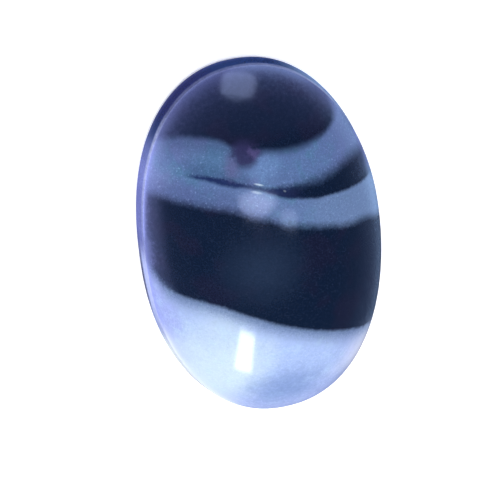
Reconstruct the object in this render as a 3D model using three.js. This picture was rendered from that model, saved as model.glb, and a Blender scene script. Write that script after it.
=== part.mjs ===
// An oval cabochon of banded agate, cut and polished from one piece of stone.
// Millimetres, +Z up. The stone lies on its flat back at z = 0, its long axis is Y,
// and its polished dome faces +Z. The bands are only colour inside the stone, so the
// surface is smooth across them.

import * as THREE from 'three';

// Driving dimensions
const stoneLength = 18;
const stoneWidth = 12;
const stoneHeight = 5;
const bevel = 0.2; // worn edge between the flat back and the wall
const creaseHeight = 1.15; // where the wall meets the dome, on average round the stone
const wallLean = 0.14; // the wall leans in this far by the time it reaches the crease

// The outline is a slightly full ellipse, and cut by hand it isn't quite regular
const fullness = 2.16; // exponent of the outline: 2 would be a plain ellipse
const threeSidedness = 0.004;
const fourSidedness = 0.004;
const creaseRise = 0.16; // the crease runs this much higher at the +Y end, lower at the other

// Fineness of the mesh
const segmentsAround = 96;
const stepsUpDome = 8; // an arc gets twice this many chords

const halfLength = stoneLength / 2;
const halfWidth = stoneWidth / 2;
const creaseHalfWidth = halfWidth - wallLean;
const creaseHalfLength = halfLength - wallLean;

// The dome is an arc through the crease and the top, centred under the middle of the stone
const domeRise = stoneHeight - creaseHeight;
const domeRadius = (creaseHalfWidth ** 2 + domeRise ** 2) / (2 * domeRise);
const domeCentreHeight = stoneHeight - domeRadius;
const creaseAngle = Math.atan2(creaseHeight - domeCentreHeight, creaseHalfWidth);

// Half of the cross-section through the narrow way of the stone, from the middle of the
// back, round the edge and up the wall, to the top of the dome
function crossSection() {
  const section = new THREE.Path();
  section.moveTo(0, 0);
  section.lineTo(halfWidth - bevel, 0);
  section.lineTo(halfWidth, bevel);
  section.lineTo(creaseHalfWidth, creaseHeight);
  section.absarc(0, domeCentreHeight, domeRadius, creaseAngle, Math.PI / 2, false);
  const points = section.getPoints(stepsUpDome);
  points[points.length - 1].set(0, stoneHeight);
  return points;
}

// Distance from the middle to an oval with the given half axes, in the direction of angle
function ovalRadius(halfX, halfY, angle) {
  const across = Math.abs(Math.cos(angle) / halfX) ** fullness;
  const along = Math.abs(Math.sin(angle) / halfY) ** fullness;
  const handCut = 1 + threeSidedness * Math.cos(3 * angle) + fourSidedness * Math.sin(4 * angle);
  return handCut * (across + along) ** (-1 / fullness);
}

// Half-length of the ring of the stone whose half-width is given. Round the edge and the
// wall the inset is the same all the way round, and the dome keeps the crease's proportions.
function ringHalfLength(ringHalfWidth, height) {
  if (height <= creaseHeight) {
    return ringHalfWidth + (halfLength - halfWidth);
  }
  return ringHalfWidth * (creaseHalfLength / creaseHalfWidth);
}

// How far the uneven crease lifts or lowers a point of the cross-section: nothing up to
// the bevel, all of it at the crease, and less and less towards the top of the dome
function creaseLift(ringHalfWidth, height, angle) {
  const lift = creaseRise * Math.sin(angle);
  if (height <= creaseHeight) {
    return lift * Math.max(0, (height - bevel) / (creaseHeight - bevel));
  }
  return lift * (ringHalfWidth / creaseHalfWidth) ** 2;
}

// The section is turned round the middle of the stone, and each ring is then drawn out
// from a circle to its oval
function cabochonGeometry() {
  const geometry = new THREE.LatheGeometry(crossSection(), segmentsAround);
  geometry.rotateX(Math.PI / 2);
  const position = geometry.attributes.position;
  for (let i = 0; i < position.count; i++) {
    const height = position.getZ(i);
    const ringHalfWidth = Math.hypot(position.getX(i), position.getY(i));
    if (ringHalfWidth > 0) {
      const angle = Math.atan2(position.getY(i), position.getX(i));
      const radius = ovalRadius(ringHalfWidth, ringHalfLength(ringHalfWidth, height), angle);
      const lift = creaseLift(ringHalfWidth, height, angle);
      position.setXYZ(i, radius * Math.cos(angle), radius * Math.sin(angle), height + lift);
    }
  }
  centreOnBack(geometry);
  geometry.computeVertexNormals();
  return geometry;
}

// The hand-cut outline reaches a little further on one side, so the middle of its box is
// moved back over the origin
function centreOnBack(geometry) {
  geometry.computeBoundingBox();
  const middle = geometry.boundingBox.getCenter(new THREE.Vector3());
  geometry.translate(-middle.x, -middle.y, 0);
}

const agate = new THREE.MeshStandardMaterial({ color: 0x5d7396, roughness: 0.12, metalness: 0 });
const cabochon = new THREE.Mesh(cabochonGeometry(), agate);
cabochon.name = 'agate_cabochon';

const group = new THREE.Group();
group.add(cabochon);

export default group;
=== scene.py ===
import math

import bpy
import numpy as np
from mathutils import Matrix, Vector


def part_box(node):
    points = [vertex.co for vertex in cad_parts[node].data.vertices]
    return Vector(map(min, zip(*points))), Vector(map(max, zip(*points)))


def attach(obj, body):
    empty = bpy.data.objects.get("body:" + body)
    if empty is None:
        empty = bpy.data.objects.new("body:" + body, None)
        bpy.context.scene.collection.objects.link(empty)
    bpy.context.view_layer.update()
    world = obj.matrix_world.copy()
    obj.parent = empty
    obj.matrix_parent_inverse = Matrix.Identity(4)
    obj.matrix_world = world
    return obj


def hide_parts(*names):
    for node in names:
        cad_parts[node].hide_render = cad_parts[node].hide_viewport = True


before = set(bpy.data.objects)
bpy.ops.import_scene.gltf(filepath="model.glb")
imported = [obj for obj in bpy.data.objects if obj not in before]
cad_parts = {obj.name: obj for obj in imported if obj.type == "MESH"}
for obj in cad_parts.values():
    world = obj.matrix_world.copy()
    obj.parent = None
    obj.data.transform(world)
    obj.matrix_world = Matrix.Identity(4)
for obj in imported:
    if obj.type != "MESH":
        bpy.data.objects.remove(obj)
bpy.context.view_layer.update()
print("frame loaded")

mm = 0.001  # Blender works in metres, and the sizes below are in millimetres
stoneLow, stoneHigh = [np.array(corner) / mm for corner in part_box("agate_cabochon")]


# Node helpers, shared by the materials and the world

def feed(tree, socket, value):  # a socket is linked, anything else is set as its value
    if isinstance(value, bpy.types.NodeSocket):
        tree.links.new(value, socket)
    else:
        socket.default_value = value


def calc(tree, operation, a, b=0.0, c=0.0):
    node = tree.nodes.new("ShaderNodeMath")
    node.operation = operation
    for socket, value in zip(node.inputs, (a, b, c)):
        feed(tree, socket, value)
    return node.outputs[0]


def ease(tree, value, start, end):  # 0 before start, 1 after end, a smooth S between them
    node = tree.nodes.new("ShaderNodeMapRange")
    node.interpolation_type = "SMOOTHSTEP"
    feed(tree, node.inputs["Value"], value)
    node.inputs["From Min"].default_value = start
    node.inputs["From Max"].default_value = end
    return node.outputs["Result"]


def blend(tree, amount, first, second):  # colours, from first at 0 to second at 1
    node = tree.nodes.new("ShaderNodeMix")
    node.data_type = "RGBA"
    for index, value in ((0, amount), (6, first), (7, second)):
        if isinstance(value, tuple):
            value = (*value, 1.0)
        feed(tree, node.inputs[index], value)
    return node.outputs[2]


def noise(tree, place, perMm, detail=3.0, roughness=0.5):  # 0 to 1, about 0.5 on average
    node = tree.nodes.new("ShaderNodeTexNoise")
    tree.links.new(place, node.inputs["Vector"])
    node.inputs["Scale"].default_value = perMm
    node.inputs["Detail"].default_value = detail
    node.inputs["Roughness"].default_value = roughness
    return node.outputs["Fac"]


def edgeLine(tree, x, points):  # y of a band's edge at x, a smooth line through points, in mm
    spanX, spanY = 14.0, 20.0  # the curve node works from 0 to 1, so both ways are squeezed
    node = tree.nodes.new("ShaderNodeFloatCurve")
    line = node.mapping.curves[0]
    places = [(px / spanX + 0.5, py / spanY + 0.5) for px, py in points]
    line.points[0].location = places[0]
    line.points[1].location = places[-1]
    for place in places[1:-1]:
        line.points.new(*place)
    node.mapping.update()
    feed(tree, node.inputs["Value"], calc(tree, "MULTIPLY_ADD", x, 1 / spanX, 0.5))
    return calc(tree, "MULTIPLY_ADD", node.outputs[0], spanY, -spanY / 2)


# The stone

stone = {
    "creaseHeight": 1.15,  # mean height of the crease between wall and dome, mm
    "creaseRise": 0.16,  # the crease runs this much higher at the +Y end, mm
    "wallLean": 0.14,  # how far the wall leans in up to the crease, mm
    "bevel": 0.2,  # worn edge of the back, mm
    "fullness": 2.16,  # 2 would be a plain ellipse
    "threeSidedness": 0.004,
    "fourSidedness": 0.004,
    "edgeRounding": 0.1,  # mm of surface over which a corner is polished round
    "polishWave": 0.006,  # how far the hand-polished dome departs from its arc, mm
    "polishWaves": (1.3, 0.9, 0.5, 1.1),  # radians per mm along x and y, of two waves
    "polishPhase": 1.0,
    "segmentsAround": 384,
    "backRings": 24,
    "wallRings": 64,  # also over the bevel and the crease
    "domeRings": 84,
    "wallZone": (-1.4, 0.2),  # where those are, in mm of surface from the crease
    "arcPoints": 600,  # of the section before its corners are rounded
    "sectionStep": 0.005,  # mm of surface
}


def crossSection():
    # Half of the section across the stone, as distance from the axis and height against the
    # run along the surface: flat back, straight bevel, straight leaning wall, then an arc up
    # to the top. A weighted running mean along the run rounds the corners.
    halfWidth = (stoneHigh[0] - stoneLow[0]) / 2
    top = stoneHigh[2]
    creaseHalf = halfWidth - stone["wallLean"]
    rise = top - stone["creaseHeight"]
    radius = (creaseHalf ** 2 + rise ** 2) / (2 * rise)
    creaseAngle = math.atan2(stone["creaseHeight"] - top + radius, creaseHalf)
    angle = np.linspace(creaseAngle, math.pi / 2, stone["arcPoints"])
    half = np.concatenate([[0, halfWidth - stone["bevel"], halfWidth], radius * np.cos(angle)])
    height = np.concatenate([[0, 0, stone["bevel"]], top - radius + radius * np.sin(angle)])
    run = np.concatenate([[0], np.cumsum(np.hypot(np.diff(half), np.diff(height)))])
    creaseRun = run[3]

    step = stone["sectionStep"]
    evenRun = np.arange(0, run[-1], step)
    half = np.interp(evenRun, run, half)
    height = np.interp(evenRun, run, height)
    weights = np.hanning(2 * round(stone["edgeRounding"] / step) + 1)
    weights /= weights.sum()
    reach = len(weights) // 2
    half = np.convolve(np.pad(half, reach, "reflect", reflect_type="odd"), weights, "valid")
    height = np.convolve(np.pad(height, reach, "reflect"), weights, "valid")

    wallStart, wallEnd = [creaseRun + limit for limit in stone["wallZone"]]
    stations = np.concatenate([
        np.linspace(0, wallStart, stone["backRings"], endpoint=False),
        np.linspace(wallStart, wallEnd, stone["wallRings"], endpoint=False),
        np.linspace(wallEnd, evenRun[-1], stone["domeRings"]),
    ])
    half = np.interp(stations, evenRun, half)
    height = np.interp(stations, evenRun, height)
    half[[0, -1]] = 0
    height[-1] = top
    return half, height, stations - creaseRun


def stoneSurface():
    # The section is turned round Z on a grid of rings and angles. Each ring is an oval with
    # half axes a across and b along: r = (|cos t / a|^n + |sin t / b|^n)^(-1/n), times a small
    # hand-cut term. The crease is lifted by creaseRise * sin t, and the dome follows it less
    # and less towards the top. The dome also gets a long, faint polishing wave.
    half, height, fromCrease = crossSection()
    halfWidth = (stoneHigh[0] - stoneLow[0]) / 2
    halfLength = (stoneHigh[1] - stoneLow[1]) / 2
    shoulder = halfWidth - stone["bevel"]
    along = half + (halfLength - halfWidth) * np.minimum(1, half / shoulder)

    turn = np.linspace(0, 2 * math.pi, stone["segmentsAround"], endpoint=False)
    a = half[1:-1, None]
    b = along[1:-1, None]
    n = stone["fullness"]
    r = (np.abs(np.cos(turn) / a) ** n + np.abs(np.sin(turn) / b) ** n) ** (-1 / n)
    r *= 1 + stone["threeSidedness"] * np.cos(3 * turn) + stone["fourSidedness"] * np.sin(4 * turn)
    x = r * np.cos(turn)
    y = r * np.sin(turn)

    low = height[1:-1, None]
    onWall = np.clip((low - stone["bevel"]) / (stone["creaseHeight"] - stone["bevel"]), 0, 1)
    onDome = np.clip(a / (halfWidth - stone["wallLean"]), 0, 1) ** 2
    share = np.where(fromCrease[1:-1, None] < 0, onWall, onDome)
    z = low + stone["creaseRise"] * np.sin(turn) * share
    w = stone["polishWaves"]
    wave = np.sin(w[0] * x + w[1] * y + stone["polishPhase"]) * np.cos(w[2] * x - w[3] * y)
    z = z + stone["polishWave"] * wave * np.clip(fromCrease[1:-1, None], 0, 1)

    centreX = (x.max() + x.min()) / 2 - (stoneHigh[0] + stoneLow[0]) / 2
    centreY = (y.max() + y.min()) / 2 - (stoneHigh[1] + stoneLow[1]) / 2
    rings = np.stack([x - centreX, y - centreY, z], -1)
    rounds, segments = rings.shape[:2]
    verts = np.concatenate([
        [[0, 0, 0]], rings.reshape(-1, 3), [[0, 0, height[-1]]],
    ])

    index = 1 + np.arange(rounds * segments).reshape(rounds, segments)
    nextIndex = np.roll(index, -1, axis=1)
    quads = np.stack([index[:-1], nextIndex[:-1], nextIndex[1:], index[1:]], -1).reshape(-1, 4)
    under = np.stack([np.zeros(segments, int), nextIndex[0], index[0]], -1)
    over = np.stack([index[-1], nextIndex[-1], np.full(segments, len(verts) - 1)], -1)
    faces = under.tolist() + quads.tolist() + over.tolist()

    mesh = bpy.data.meshes.new("agate_cabochon_fine")
    mesh.from_pydata((verts * mm).tolist(), [], faces)
    mesh.shade_smooth()
    runs = np.concatenate([fromCrease[:1], np.repeat(fromCrease[1:-1], segments), fromCrease[-1:]])
    mesh.attributes.new("fromCrease", "FLOAT", "POINT").data.foreach_set("value", runs)
    return mesh


# The agate. All lengths are in mm, seen from above, and colours are linear.
# A place is the name of a field with where its share starts and where it is full, or the
# bare name of a field that is a share already.

agate = {
    "tints": {
        "ink": (0.0032, 0.0095, 0.0275),
        "inkPlum": (0.0075, 0.0092, 0.0280),
        "inkTeal": (0.0115, 0.0240, 0.0540),
        "inkSpeck": (0.0165, 0.0245, 0.0470),
        "veinBlue": (0.0120, 0.0240, 0.0880),
        "slate": (0.097, 0.160, 0.315),
        "teal": (0.088, 0.178, 0.308),
        "lavenderGrey": (0.118, 0.138, 0.310),
        "skyGrey": (0.140, 0.240, 0.440),
        "hazeGrey": (0.130, 0.198, 0.345),
        "deepTeal": (0.076, 0.168, 0.290),
        "duskGrey": (0.074, 0.106, 0.235),
        "fleck": (0.300, 0.430, 0.640),
        "periwinkle": (0.325, 0.425, 0.680),
        "milk": (0.480, 0.595, 0.700),
        "cyanMilk": (0.430, 0.620, 0.770),
        "violetMilk": (0.380, 0.410, 0.760),
        "greyBlue": (0.190, 0.272, 0.495),
        "greyPeriwinkle": (0.315, 0.385, 0.650),
        "paleRim": (0.680, 0.720, 0.900),
        "lilac": (0.300, 0.350, 0.670),
        "paleShadow": (0.072, 0.120, 0.220),
        "tipRim": (0.860, 0.930, 0.960),
        "snow": (0.620, 0.740, 0.780),
        "plum": (0.028, 0.027, 0.082),
        "plumHeart": (0.075, 0.064, 0.165),
        "pinkHaze": (0.105, 0.105, 0.235),
        "lavender": (0.300, 0.345, 0.800),
        "wallLavender": (0.235, 0.268, 0.680),
        "paleWall": (0.530, 0.600, 0.970),
        "footShade": (0.040, 0.045, 0.140),
        "rimTeal": (0.400, 0.620, 0.980),
        "navy": (0.010, 0.038, 0.155),
        "navyPlum": (0.014, 0.019, 0.115),
        "creaseHighlight": (0.600, 0.660, 0.960),
    },
    "noises": {  # grains per mm, detail, roughness
        "soft": (0.45, 0.0, 0.5),
        "cloud": (0.55, 3.0, 0.5),
        "bend": (1.1, 2.0, 0.5),
        "patch": (1.4, 3.0, 0.5),
        "mottle": (4.5, 4.0, 0.65),
        "grain": (10.0, 3.0, 0.7),
        "speckle": (22.0, 2.0, 0.7),
    },
    "frayed": ("y", ("bend", 0.14), ("mottle", 0.16), ("grain", 0.16)),  # y as the bands see it
    "edges": {  # y of each edge of a band at x
        "blackBottom": [(-6.4, 0.6), (-5.64, -0.08), (-5.38, -0.66), (-4.92, -1.06),
                        (-4.28, -1.29), (-3.4, -1.58), (-2.66, -1.92), (-1.3, -2.65),
                        (0.4, -3.47), (2.2, -4.24), (3.4, -4.70), (4.46, -5.16), (6.4, -6.0)],
        "blackTop": [(-6.4, 4.0), (-5.2, 3.78), (-4.3, 3.56), (-3.5, 3.38), (-2.46, 3.13),
                     (-1.8, 2.93), (-1.0, 2.50), (-0.23, 2.23), (0.3, 1.92), (1.0, 1.71),
                     (1.83, 1.46), (2.76, 1.20), (3.8, 0.90), (4.6, 0.80), (5.41, 0.43),
                     (6.4, 0.0)],
        "veinBottom": [(-4.0, 4.72), (-3.4, 4.57), (-2.65, 4.37), (-1.9, 4.09), (-1.14, 3.90),
                       (-0.5, 3.69), (0.0, 3.39), (0.43, 3.17), (1.26, 2.94), (1.96, 2.75),
                       (2.93, 2.62), (4.0, 2.50), (6.4, 2.4)],
        "veinTop": [(-4.0, 4.83), (-3.4, 4.76), (-2.65, 4.66), (-1.9, 4.48), (-1.14, 4.10),
                    (-0.5, 3.87), (0.0, 3.74), (0.5, 3.68), (1.79, 3.57), (2.76, 3.58),
                    (3.56, 3.70), (4.3, 3.84), (5.0, 3.88), (6.4, 3.9)],
        "capBottom": [(-6.4, 6.0), (-4.35, 6.20), (-3.6, 6.35), (-2.65, 6.25), (-1.85, 6.06),
                      (-1.35, 5.73), (-0.6, 5.46), (0.2, 5.34), (0.9, 5.20), (1.8, 5.16),
                      (3.0, 5.26), (6.4, 6.2)],
    },
    "wanderers": {  # a field, and the noises that push it to and fro, with how far in all
        "roamX": ("x", ("cloud", 2.0), ("patch", 0.8)),
        "roamY": ("y", ("soft", 2.4)),
        "cloudX": ("x", ("cloud", 2.0)),
        "patchX": ("x", ("patch", 2.0)),
        "patchY": ("y", ("patch", 1.0)),
        "poolY": ("y", ("patch", 0.5)),
        "dropX": ("x", ("patch", 0.7), ("mottle", 0.5)),
        "dropY": ("yBand", ("grain", 0.3)),
        "nearEdge": ("fromCrease", ("cloud", 1.6)),
        "softBottom": ("blackBottom", ("grain", 0.9)),
        "shadowEdge": ("blackBottom", ("grain", 0.9), ("speckle", 0.7)),
    },
    "spots": {  # the fields it is drawn on, and the middle, width and height of its oval
        "milkPool": ("roamX", "roamY", (-3.40, -5.30, 4.80, 7.40)),
        "greyPool": ("roamX", "poolY", (-0.38, -7.00, 4.50, 2.80)),
        "tealPatch": ("x", "patchY", (-2.35, 5.10, 2.90, 1.90)),
        "skyPatch": ("x", "patchY", (-0.15, 4.70, 1.90, 1.50)),
        # lighter teal in the black band: partly its own tone, partly a painted reflection of the
        # glow above
        "inkPatch": ("x", "y", (-1.0, 0.0, 5.20, 4.60)),
        "drop": ("dropX", "dropY", (-0.90, 5.38, 1.45, 1.35)),
        "dropHeart": ("dropX", "dropY", (-0.48, 5.40, 0.50, 0.70)),
        "dropHaze": ("dropX", "dropY", (-1.65, 4.95, 0.90, 1.30)),
    },
    "onDome": ("fromCrease", -0.03, 0.03),
    "onBack": ("fromCrease", -0.95, -1.25),

    # Where the tints lie. A layer is a tint, how much of it, and its places.
    "paleMilk": ("milkPool", 1.25, 0.3),
    "inGreyPool": ("greyPool", 1.4, 0.1),
    "poolCalm": -0.75,  # how much less mottled the grey pool is
    "nearBlack": ("shadowEdge", -1.55, 0.1),
    "paleLayers": [
        ("violetMilk", 0.35, ("y", -6.4, -7.8)),
        ("greyBlue", 1.0, "inGreyPool"),
        ("greyPeriwinkle", 1.0, ("roamX", 1.6, 3.6)),
        ("lilac", 0.75, ("roamX", -4.5, -5.6), ("y", -5.2, -3.6)),
        # painted rim light: lighter near the edge on the +X side of the pale end
        ("paleRim", 0.90, ("nearEdge", 2.6, 0.4), ("x", 0.6, 2.6), ("y", -7.6, -6.5)),
        ("cyanMilk", 0.25, ("patch", 0.50, 0.70), "calm"),
        ("violetMilk", 0.20, ("mottle", 0.50, 0.72), "calm"),
        ("snow", 0.20, ("grain", 0.50, 0.75), "calm"),
        ("paleShadow", 0.85, "nearBlack", "nearBlack"),
    ],
    "slateToTeal": ("patch", 0.45, 0.65),
    "slateLayers": [
        ("lavenderGrey", 0.50, ("cloud", 0.52, 0.38), ("x", 1.5, -1.5)),
        ("lavenderGrey", 0.50, ("x", 2.2, 4.2), ("y", 2.9, 3.6)),
        ("deepTeal", 0.75, ("tealPatch", 1.2, 0.3)),
        ("lilac", 0.70, ("cloudX", -3.8, -5.6)),
        ("duskGrey", 0.80, ("blackTop", 1.4, 0.2), ("x", 1.2, -1.5)),
        ("hazeGrey", 0.80, ("x", 0.5, 2.6), ("y", 3.3, 2.7)),
        ("skyGrey", 0.70, ("skyPatch", 1.2, 0.3)),
        ("fleck", 0.50, ("grain", 0.58, 0.76)),
    ],
    "inkLayers": [
        ("inkPlum", 0.80, ("cloud", 0.48, 0.62)),
        # partly the band's own teal, partly a painted reflection of the glow above
        ("inkTeal", 1.0, ("inkPatch", 1.1, 0.0)),
        ("inkSpeck", 0.50, ("grain", 0.50, 0.72)),
    ],
    "dropLayers": [
        ("pinkHaze", 0.70, ("dropHaze", 1.3, 0.2)),
        ("plum", 0.95, ("drop", 1.25, 0.45)),
        ("plumHeart", 0.80, ("dropHeart", 1.3, 0.2)),
    ],
    "wallLayers": [
        # painted reflection of the bright floor on the -X wall
        ("wallLavender", 0.78, "onWall", ("x", -3.8, -5.2), ("y", -1.5, 0.0)),
        # the pale stone on the wall, brightened with painted light
        ("paleWall", 1.0, "onWall", ("x", 0.0, -3.0), ("y", 1.4, -0.3), ("y", -4.4, -1.4)),
        # painted light: the wall's foot near the tip lightened where it gets little light
        ("tipRim", 1.0, "onWall", ("y", -3.2, -4.8), ("x", 1.5, -1.0)),
        ("darkWall", 1.0, "onWall", ("y", 4.2, 7.6)),
        # painted reflection: pale blue on the +X wall
        ("rimTeal", 0.85, "onWall", ("x", 1.5, 4.4), ("y", 3.0, 6.0)),
        # painted glow: light from the floor through the foot of the wall
        ("lavender", 0.15, "onWall", ("fromCrease", -0.6, -1.0), ("y", 3.0, 6.0)),
        # painted shade along the foot of the wall
        ("footShade", 0.90, ("fromCrease", -0.50, -0.76), ("y", 2.5, -0.5), ("y", -3.6, -1.4)),
    ],
    "plumWall": [("patchX", -0.5, -2.5), ("y", 6.2, 7.4)],  # navy turns to plum here

    # The black band, the vein and the cap
    "softSide": ("x", -4.7, -5.6),  # the band's lower edge gets soft here
    "bandLow": ("blackBottom", -0.14, 0.14),
    "bandLowSoft": ("softBottom", -0.40, 0.45),
    "bandHigh": ("blackTop", 0.34, -0.30),
    "swell": ("x", 0.3, 2.6),  # the hairline turns into the crescent here
    "veinLow": ("veinBottom", -0.10, 0.12),
    "veinHigh": ("veinTop", 0.18, -0.16),
    "veinHighHazy": ("veinTop", 0.50, -0.40),
    "veinEnds": [("x", -3.9, -3.2), ("x", 5.9, 5.1)],
    "veinHalo": [("veinTop", 0.85, 0.0), ("x", -0.5, -1.3)],
    "veinHaloAmount": 0.36,
    "veinDarkens": ("x", -0.5, 2.0),
    "capLow": ("capBottom", -0.34, 0.26),
    "capTail": [("capBottom", -0.95, 0.1), ("x", -1.0, -1.8)],
    "capTailAmount": 0.35,
    "capCorner": (0.2, 6.10, 7.9, 2.6),  # oval of the round corner
    "capTurn": [("x", 0.6, 2.0), ("corner", 0.92, 1.10)],
    "paleEnds": ("blackBottom", 0.5, 1.0),  # and turns to slate, where the black band hides it

    # Painted highlights: glints of light along the hairline, laid into the colour as pale ovals
    "glints": [(-0.55, 3.99, 0.46, 0.10, 0.6), (-0.72, 3.66, 0.50, 0.15, 0.35),
               (0.60, 3.46, 0.14, 0.11, 0.2)],  # ovals, with how strongly each shines
    "glintSlope": 0.35,  # they lie along the hairline
    "glintEdge": (1.3, 0.3),

    # Painted rim light, glows laid into the colour for the bright surroundings mirrored in the rim
    # and shining through the thin edge: tint, amount, reach inwards, how abruptly it ends, places
    "edgeGlows": [
        ("lavender", 0.95, 0.20, 2.0, "leftDimmed"),
        ("lavender", 0.30, 0.56, 2.0, "notLeft", ("y", 5.0, 6.4)),
        ("rimTeal", 0.17, 0.42, 3.0, ("x", -1.2, 0.8), ("x", 3.6, 2.6), ("y", 5.0, 7.0)),
        ("rimTeal", 1.0, 1.20, 4.0, ("leanRight", 1.5, 3.8), "lowerRight", ("y", -6.2, -4.8),
         "throughPale"),
        ("lavender", 0.30, 0.45, 3.0, ("x", 3.4, 4.8), ("y", 2.4, 3.0), ("y", 5.2, 4.2)),
        ("paleRim", 0.65, 0.80, 2.5, ("x", 2.3, 3.8), ("y", -4.6, -5.8)),
        ("tipRim", 0.80, 0.30, 2.0, ("y", -2.6, -4.2), ("x", -2.0, -3.2)),
        ("lavender", 0.30, 0.60, 4.0, "dim", ("x", -3.0, -4.5)),
    ],
    "edgeCloud": (1.2, 1.0),  # how much mottle and grain break the glow up
    "leanLeft": -0.25,  # the limits of the left and right glow slant by this much
    "leanRight": -0.10,
    "leftGlow": [("leanLeft", -1.6, -3.6), ("y", 6.8, 5.3)],
    "dimAt": 0.8,  # y where the left glow is weaker
    "dim": ("fromDim", 1.0, 0.4),
    "dimAmount": -0.50,
    "upperRight": ("y", 2.0, 4.0),
    "upperRightAmount": -0.62,
    "throughPale": (-0.38, 0.56),  # change where the stone is inked, and the amount elsewhere

    # Painted highlight along the crease, where the rounded edge catches the light
    "creaseShine": 0.16,
    "creaseShines": [  # added to that, with their places
        (0.38, ("x", -3.6, -4.6), ("y", 1.4, 5.0)),
        (0.15, ("x", -1.0, 2.0), ("y", 5.0, 7.0)),
        (0.20, ("x", 1.8, 3.4), ("y", 5.0, 7.0)),
        (0.20, ("x", -2.0, -4.0), ("y", 0.2, -0.6)),
    ],
    "creaseMiddle": -0.08,  # the middle of the painted highlight line is just below the crease
    "creaseHighlightEdges": (0.22, 0.04),

    "mottlingPale": 0.28,
    "mottlingMore": 0.37,  # more of it past the pale end
    "mottlingBroad": 0.36,
    "roughDome": 0.10,
    "roughMottle": 0.05,
    "roughWall": 0.08,
    "roughBack": 0.30,
    "bumpStrength": 0.12,
    "bumpDepth": 0.02,
    "scratchedBack": 4.0,
    "ior": 1.54,
}


def times(tree, *factors):  # the product of several shares
    product = factors[0]
    for factor in factors[1:]:
        product = calc(tree, "MULTIPLY", product, factor)
    return product


def without(tree, share):  # what a share leaves over
    return calc(tree, "SUBTRACT", 1.0, share)


def wander(tree, value, wobble, amount):  # value pushed to and fro by a noise
    return calc(tree, "MULTIPLY_ADD", wobble, amount, calc(tree, "SUBTRACT", value, amount / 2))


def pushed(tree, at, recipe):  # a field that several noises push in turn
    field, *pushes = recipe
    value = at[field]
    for grains, amount in pushes:
        value = wander(tree, value, at[grains], amount)
    return value


def spot(tree, x, y, oval):  # 0 in the middle of an oval, 1 on its rim
    middleX, middleY, wide, high = oval
    across = calc(tree, "DIVIDE", calc(tree, "SUBTRACT", x, middleX), wide / 2)
    along = calc(tree, "DIVIDE", calc(tree, "SUBTRACT", y, middleY), high / 2)
    return calc(tree, "SQRT", calc(tree, "MULTIPLY_ADD", across, across,
                                   calc(tree, "MULTIPLY", along, along)))


def fadeFrom(tree, distance, reach, power):  # 1 at no distance, a half at reach
    return calc(tree, "DIVIDE", 1.0, calc(tree, "ADD", 1.0, calc(
        tree, "POWER", calc(tree, "DIVIDE", distance, reach), power)))


def shareAt(tree, at, *places):  # the product of the shares of several places
    shares = []
    for place in places:
        if isinstance(place, str):
            shares.append(at[place])
        else:
            field, start, full = place
            shares.append(ease(tree, at[field], start, full))
    return times(tree, *shares)


def paint(tree, at, colour, layers):  # lays the tints of a list over a colour, one by one
    for tint, amount, *places in layers:
        share = times(tree, shareAt(tree, at, *places), amount)
        colour = blend(tree, share, colour, at[tint] if tint in at else agate["tints"][tint])
    return colour


def stoneFields(tree):
    # What the layers of colour share: the place in mm, noises of several grains, how far a
    # point lies on the +Y side of each edge, how far it is from the crease, and the spots
    where = tree.nodes.new("ShaderNodeTexCoord").outputs["Object"]
    inMm = tree.nodes.new("ShaderNodeVectorMath")
    inMm.operation = "SCALE"
    inMm.inputs["Scale"].default_value = 1 / mm
    tree.links.new(where, inMm.inputs[0])
    place = inMm.outputs[0]
    split = tree.nodes.new("ShaderNodeSeparateXYZ")
    tree.links.new(place, split.inputs[0])
    at = {"x": split.outputs[0], "y": split.outputs[1]}
    for name, settings in agate["noises"].items():
        at[name] = noise(tree, place, *settings)
    at["yBand"] = pushed(tree, at, agate["frayed"])
    for name, points in agate["edges"].items():
        at[name] = calc(tree, "SUBTRACT", at["yBand"], edgeLine(tree, at["x"], points))
    fromCrease = tree.nodes.new("ShaderNodeAttribute")
    fromCrease.attribute_name = "fromCrease"
    at["fromCrease"] = fromCrease.outputs["Fac"]
    at["onDome"] = shareAt(tree, at, agate["onDome"])
    at["onWall"] = without(tree, at["onDome"])
    at["onBack"] = shareAt(tree, at, agate["onBack"])
    for name, recipe in agate["wanderers"].items():
        at[name] = pushed(tree, at, recipe)
    for name, (across, along, oval) in agate["spots"].items():
        at[name] = spot(tree, at[across], at[along], oval)
    return at


def paleEnd(tree, at):
    # Periwinkle with a milky pool on the -X side and a greyer one near the tip, greyer still
    # on the +X side, lilac along the -X edge, and shaded where it meets the black band
    milk = shareAt(tree, at, agate["paleMilk"])
    colour = blend(tree, milk, agate["tints"]["periwinkle"], agate["tints"]["milk"])
    at["inGreyPool"] = shareAt(tree, at, agate["inGreyPool"])
    at["calm"] = calc(tree, "MULTIPLY_ADD", at["inGreyPool"], agate["poolCalm"], 1.0)
    at["nearBlack"] = shareAt(tree, at, agate["nearBlack"])
    return paint(tree, at, colour, agate["paleLayers"])


def slateBands(tree, at):
    # Slate blue with teal and lavender patches and fine pale flecks, duskier towards the
    # black band, paler low on the +X side and beside the drop
    teal = shareAt(tree, at, agate["slateToTeal"])
    colour = blend(tree, teal, agate["tints"]["slate"], agate["tints"]["teal"])
    return paint(tree, at, colour, agate["slateLayers"])


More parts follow.
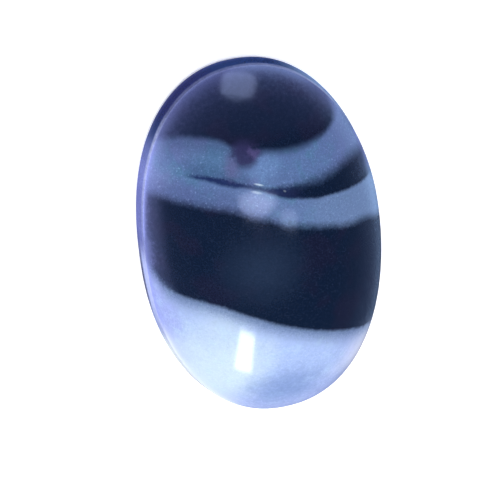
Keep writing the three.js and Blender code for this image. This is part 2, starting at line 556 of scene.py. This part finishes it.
def inkShares(tree, at):
    # The black band, the vein that is a hairline on the -X side and swells into a crescent
    # on the other, and the cap, which turns a round corner on the +X side
    soft = shareAt(tree, at, agate["softSide"])
    low = calc(tree, "ADD",
               times(tree, shareAt(tree, at, agate["bandLow"]), without(tree, soft)),
               times(tree, shareAt(tree, at, agate["bandLowSoft"]), soft))
    band = times(tree, low, shareAt(tree, at, agate["bandHigh"]))

    swell = shareAt(tree, at, agate["swell"])
    crisp = times(tree, shareAt(tree, at, agate["veinHigh"]), without(tree, swell))
    hazy = times(tree, shareAt(tree, at, agate["veinHighHazy"]), swell)
    halo = times(tree, shareAt(tree, at, *agate["veinHalo"]), agate["veinHaloAmount"])
    high = calc(tree, "ADD", calc(tree, "MAXIMUM", crisp, halo), hazy)
    vein = times(tree, shareAt(tree, at, agate["veinLow"]), high,
                 shareAt(tree, at, *agate["veinEnds"]))

    cornerX, cornerY = agate["capCorner"][:2]
    at["corner"] = spot(tree, calc(tree, "MAXIMUM", at["x"], cornerX),
                        calc(tree, "MINIMUM", at["yBand"], cornerY), agate["capCorner"])
    tail = times(tree, shareAt(tree, at, *agate["capTail"]), agate["capTailAmount"])
    cap = times(tree, calc(tree, "MAXIMUM", shareAt(tree, at, agate["capLow"]), tail),
                without(tree, shareAt(tree, at, *agate["capTurn"])))
    return band, vein, cap


def dropAndGlints(tree, at, colour):
    # A plum-coloured drop hangs from the cap, with a paler heart and a pinkish haze beside
    # it, and painted highlights, small glints of light along the hairline, are laid in as pale
    # flecks
    colour = paint(tree, at, colour, agate["dropLayers"])
    slope = agate["glintSlope"]
    alongLine = calc(tree, "MULTIPLY_ADD", at["x"], slope, at["y"])
    # each glint is a painted highlight
    for middleX, middleY, wide, high, amount in agate["glints"]:
        oval = (middleX, middleY + slope * middleX, wide, high)
        inside = ease(tree, spot(tree, at["x"], alongLine, oval), *agate["glintEdge"])
        colour = blend(tree, times(tree, inside, amount), colour, agate["tints"]["snow"])
    return colour


def paintedRimLight(tree, at, colour):
    # Painted rim light: the surroundings mirrored in the rim and shining through the thin edge are
    # painted in as a glow: lavender on the -X side, fainter and wider over the cap, teal on the +X
    # side and more so where the stone is pale, all fading inwards from the crease
    x, y = at["x"], at["y"]
    mottled, grainy = agate["edgeCloud"]
    cloudy = wander(tree, wander(tree, 1.0, at["mottle"], mottled), at["grain"], grainy)
    inwards = times(tree, calc(tree, "MAXIMUM", at["fromCrease"], 0.0), cloudy)
    at["leanLeft"] = calc(tree, "MULTIPLY_ADD", y, agate["leanLeft"], x)
    at["leanRight"] = calc(tree, "MULTIPLY_ADD", y, agate["leanRight"], x)
    left = shareAt(tree, at, *agate["leftGlow"])
    at["notLeft"] = without(tree, left)
    at["fromDim"] = calc(tree, "ABSOLUTE", calc(tree, "SUBTRACT", y, agate["dimAt"]))
    at["dim"] = shareAt(tree, at, agate["dim"])
    at["leftDimmed"] = times(tree, left, calc(tree, "MULTIPLY_ADD", at["dim"],
                                              agate["dimAmount"], 1.0))
    at["lowerRight"] = calc(tree, "MULTIPLY_ADD", shareAt(tree, at, agate["upperRight"]),
                            agate["upperRightAmount"], 1.0)
    at["throughPale"] = calc(tree, "MULTIPLY_ADD", at["inked"], *agate["throughPale"])
    for tint, amount, reach, power, *places in agate["edgeGlows"]:
        glow = fadeFrom(tree, inwards, reach, power)
        share = times(tree, shareAt(tree, at, *places), glow, at["onDome"], amount)
        colour = blend(tree, share, colour, agate["tints"][tint])
    return colour


def wallAndCrease(tree, at, colour):
    # The wall is lavender along the -X side, a painted reflection of the bright floor, and paler
    # beside the pale end, the pale stone brightened with painted light, with painted shade in a
    # dark line at its foot and painted light near the tip; navy to plum round the dark end and pale
    # blue, a painted reflection, where that turns to the +X side. Along the crease above it runs a
    # painted highlight, a pale line for the light the rounded crease catches, mostly on the -X
    # side.
    at["darkWall"] = blend(tree, shareAt(tree, at, *agate["plumWall"]),
                           agate["tints"]["navy"], agate["tints"]["navyPlum"])
    colour = paint(tree, at, colour, agate["wallLayers"])
    strength = agate["creaseShine"]
    for amount, *places in agate["creaseShines"]:
        strength = calc(tree, "MULTIPLY_ADD", shareAt(tree, at, *places), amount, strength)
    # the painted highlight is a pale line along the crease
    aside = calc(tree, "ABSOLUTE", calc(tree, "SUBTRACT", at["fromCrease"], agate["creaseMiddle"]))
    uneven = calc(tree, "ADD", at["mottle"], 0.5)  # 1 on average
    line = times(tree, ease(tree, aside, *agate["creaseHighlightEdges"]), strength, uneven)
    return blend(tree, line, colour, agate["tints"]["creaseHighlight"])


def polish(tree, at, shader):
    # Glassy on the dome, a little duller on the wall, ground matt on the back
    rough = calc(tree, "MULTIPLY_ADD", at["mottle"], agate["roughMottle"], agate["roughDome"])
    rough = calc(tree, "MULTIPLY_ADD", at["onWall"], agate["roughWall"], rough)
    rough = calc(tree, "MULTIPLY_ADD", at["onBack"], agate["roughBack"], rough)
    tree.links.new(rough, shader.inputs["Roughness"])
    bump = tree.nodes.new("ShaderNodeBump")
    bump.inputs["Strength"].default_value = agate["bumpStrength"]
    bump.inputs["Distance"].default_value = agate["bumpDepth"] * mm
    scratches = times(tree, at["grain"], agate["scratchedBack"])
    tree.links.new(calc(tree, "MULTIPLY_ADD", at["onBack"], scratches, at["mottle"]),
                   bump.inputs["Height"])
    tree.links.new(bump.outputs[0], shader.inputs["Normal"])
    shader.inputs["IOR"].default_value = agate["ior"]


def mottling(tree, at, pastBlack, colour):  # fine and all over, weaker in the pale end
    fine = calc(tree, "SUBTRACT", calc(tree, "ADD", at["grain"], at["speckle"]), 1.0)
    strength = calc(tree, "MULTIPLY_ADD", pastBlack, agate["mottlingMore"],
                    agate["mottlingPale"])
    broad = wander(tree, 1.0, at["mottle"], agate["mottlingBroad"])
    shaded = tree.nodes.new("ShaderNodeVectorMath")
    shaded.operation = "SCALE"
    tree.links.new(colour, shaded.inputs[0])
    tree.links.new(calc(tree, "ADD", times(tree, fine, strength), broad), shaded.inputs["Scale"])
    return shaded.outputs[0]


def agateMaterial():
    material = bpy.data.materials.new("banded_agate")
    material.use_nodes = True
    tree = material.node_tree
    shader = tree.nodes["Principled BSDF"]
    at = stoneFields(tree)
    pastBlack = shareAt(tree, at, agate["paleEnds"])
    colour = blend(tree, pastBlack, paleEnd(tree, at), slateBands(tree, at))
    band, vein, cap = inkShares(tree, at)
    at["inked"] = calc(tree, "MAXIMUM", calc(tree, "MAXIMUM", band, vein), cap)
    ink = paint(tree, at, agate["tints"]["ink"], agate["inkLayers"])
    veinInk = blend(tree, shareAt(tree, at, agate["veinDarkens"]), agate["tints"]["veinBlue"],
                    ink)
    colour = blend(tree, vein, colour, veinInk)
    colour = blend(tree, calc(tree, "MAXIMUM", band, cap), colour, ink)
    colour = dropAndGlints(tree, at, colour)
    # painted rim light: reflection and glow of the bright surroundings near the edge
    colour = paintedRimLight(tree, at, colour)
    colour = wallAndCrease(tree, at, colour)
    tree.links.new(mottling(tree, at, pastBlack, colour), shader.inputs["Base Color"])
    polish(tree, at, shader)
    return material


def makeStone():
    mesh = stoneSurface()
    mesh.materials.append(agateMaterial())
    piece = bpy.data.objects.new("agate_cabochon_fine", mesh)
    bpy.context.collection.objects.link(piece)
    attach(piece, "root")
    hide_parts("agate_cabochon")
    print("stone made:", len(mesh.polygons), "faces")


# Floor

floorLook = {
    "half": 3.0,  # metres
    "gap": 0.01,  # mm between the floor and the stone's back
    "fibre": (900.0, 4.0, 0.6),  # grains per metre, detail, roughness
    "roughness": 0.95,
    "pale": (0.93, 0.93, 0.94),
    "paler": (0.95, 0.95, 0.955),
    "glow": 0.35,  # lit from beneath, as on a light table
    "farGlow": 1.0,  # the same beyond the lamps, so that it meets the white world without a line
    "fade": (0.15, 0.6),  # metres from the stone over which the one turns into the other
}


def makeFloor():
    half = floorLook["half"]
    level = (stoneLow[2] - floorLook["gap"]) * mm
    corners = np.array([(-half, -half, level), (half, -half, level), (half, half, level),
                        (-half, half, level)])
    mesh = bpy.data.meshes.new("floor")
    mesh.from_pydata(corners.tolist(), [], [(0, 1, 2, 3)])
    material = bpy.data.materials.new("pale_paper")
    material.use_nodes = True
    tree = material.node_tree
    shader = tree.nodes["Principled BSDF"]
    where = tree.nodes.new("ShaderNodeTexCoord").outputs["Object"]
    fibre = noise(tree, where, *floorLook["fibre"])
    tree.links.new(blend(tree, fibre, floorLook["pale"], floorLook["paler"]),
                   shader.inputs["Base Color"])
    shader.inputs["Roughness"].default_value = floorLook["roughness"]
    shader.inputs["Specular IOR Level"].default_value = 0.0
    shader.inputs["Emission Color"].default_value = (1.0, 1.0, 1.0, 1.0)
    away = tree.nodes.new("ShaderNodeVectorMath")
    away.operation = "LENGTH"
    tree.links.new(where, away.inputs[0])
    further = ease(tree, away.outputs["Value"], *floorLook["fade"])
    tree.links.new(calc(tree, "MULTIPLY_ADD", further, floorLook["farGlow"] - floorLook["glow"],
                        floorLook["glow"]), shader.inputs["Emission Strength"])
    mesh.materials.append(material)
    floor = bpy.data.objects.new("floor", mesh)
    bpy.context.collection.objects.link(floor)
    floor.visible_glossy = False  # the polish mirrors the soft world instead of white paper
    print("floor made")


# Light

studio = {
    "aim": (0.0, 0.0, 0.003),
    "away": 0.5,  # distance of every lamp, metres
    "overhead": (0.03, 0.035, 0.06),  # world straight up
    "horizon": (0.32, 0.38, 0.80),  # world at and under the horizon, on the bright side
    "brightSide": 130,  # degrees round from +X
    "brightEase": (-0.4, 0.8),  # from the dark side to the bright one, as cosines
    "darkLevel": 0.15,  # brightness of the dark side
    "brightMore": 1.65,
    "horizonEase": (0.05, -0.25),  # the horizon glow sets in below this height
    "nadirEase": (-1.0, -0.35),  # and fades out again straight down
}

# name, azimuth, elevation, width and height in degrees, roll, radiance, colour, mirrored
lamps = [
    ("softbox", -110, 80, 70, 62, 0, 2.85, (1.0, 0.99, 0.98), False),
    ("leftFill", -140, 9, 60, 14, 0, 3.0, (1.0, 1.0, 1.0), False),
    ("rightFill", -32, 9, 60, 14, 0, 3.0, (1.0, 1.0, 1.0), False),
    ("keyWindow", -112.0, 22.1, 10.4, 26.4, 11, 11.0, (0.95, 1.0, 1.0), True),
    ("farWindow", 82.0, 13.2, 22.2, 22.2, -21, 1.45, (0.76, 0.94, 1.62), True),
    ("farWindowGlow", 82.5, 13.5, 26.5, 30.0, -20, 0.8, (0.76, 0.94, 1.62), True),
    ("zenithGlow", 105, 84.8, 30, 11, -15, 2.85, (0.86, 0.96, 1.45), True),
    ("zenithGlowHeart", 80, 84.8, 18, 8, 8, 1.2, (0.86, 0.96, 1.45), True),
    ("sideGlow", -11, 69, 6, 16, 0, 2.0, (0.80, 0.96, 1.40), True),
]


def makeLamp(name, azimuth, elevation, wide, high, roll, radiance, colour, mirrored):
    lamp = bpy.data.lights.new(name, "AREA")
    away = studio["away"]
    lamp.shape = "ELLIPSE" if "Glow" in name else "RECTANGLE"
    lamp.size = 2 * away * math.tan(math.radians(wide / 2))
    lamp.size_y = 2 * away * math.tan(math.radians(high / 2))
    lamp.energy = radiance * math.pi * lamp.size * lamp.size_y
    lamp.color = colour
    azimuth, elevation = math.radians(azimuth), math.radians(elevation)
    outward = Vector((math.cos(azimuth) * math.cos(elevation),
                      math.sin(azimuth) * math.cos(elevation), math.sin(elevation)))
    turn = outward.to_track_quat("Z", "Y").to_matrix() @ Matrix.Rotation(math.radians(roll), 3, "Z")
    holder = bpy.data.objects.new(name, lamp)
    holder.matrix_world = (Matrix.Translation(Vector(studio["aim"]) + away * outward)
                           @ turn.to_4x4())
    holder.visible_camera = False
    holder.visible_glossy = mirrored
    bpy.context.collection.objects.link(holder)


def makeWorld():
    world = bpy.data.worlds.new("studio")
    world.use_nodes = True
    tree = world.node_tree
    background = tree.nodes["Background"]
    direction = tree.nodes.new("ShaderNodeTexCoord").outputs["Generated"]
    split = tree.nodes.new("ShaderNodeSeparateXYZ")
    tree.links.new(direction, split.inputs[0])
    dx, dy, dz = split.outputs
    bright = math.radians(studio["brightSide"])
    towards = calc(tree, "ADD", calc(tree, "MULTIPLY", dx, math.cos(bright)),
                   calc(tree, "MULTIPLY", dy, math.sin(bright)))
    sideways = calc(tree, "MULTIPLY_ADD", ease(tree, towards, *studio["brightEase"]),
                    studio["brightMore"], studio["darkLevel"])
    level = times(tree, ease(tree, dz, *studio["horizonEase"]),
                  ease(tree, dz, *studio["nadirEase"]))
    colour = blend(tree, times(tree, level, sideways), studio["overhead"], studio["horizon"])
    colour.node.clamp_factor = False  # the bright side is more than the horizon's own colour
    isCamera = tree.nodes.new("ShaderNodeLightPath").outputs["Is Camera Ray"]
    tree.links.new(blend(tree, isCamera, colour, (1.0, 1.0, 1.0)), background.inputs["Color"])
    bpy.context.scene.world = world


# Camera: over the stone and tipped towards its dark end, a little to the -X side

camera = {
    "lens": 166.2,
    "away": 110 * mm,
    "tilt": 22.84,  # degrees off straight down
    "towards": 118.0,  # the side it leans to, degrees round from +X
    "roll": -8.49,
    "aim": (-1.03 * mm, 0.205 * mm, 2.5 * mm),
}


def makeCamera():
    tilt, towards = math.radians(camera["tilt"]), math.radians(camera["towards"])
    back = Vector((math.cos(towards) * math.sin(tilt), math.sin(towards) * math.sin(tilt),
                   math.cos(tilt)))
    right = Vector((0, 1, 0)).cross(back).normalized()
    up = back.cross(right)
    turn = Matrix((right, up, back)).transposed()
    turn = turn @ Matrix.Rotation(math.radians(camera["roll"]), 3, "Z")
    lens = bpy.data.cameras.new("camera")
    lens.lens = camera["lens"]
    lens.clip_start = 0.001
    holder = bpy.data.objects.new("camera", lens)
    holder.matrix_world = (Matrix.Translation(Vector(camera["aim"]) + camera["away"] * back)
                           @ turn.to_4x4())
    bpy.context.collection.objects.link(holder)
    bpy.context.scene.camera = holder


makeCamera()
makeStone()
makeFloor()
for lamp in lamps:
    makeLamp(*lamp)
makeWorld()
bpy.context.scene.view_settings.view_transform = "Standard"
print("light and camera set")
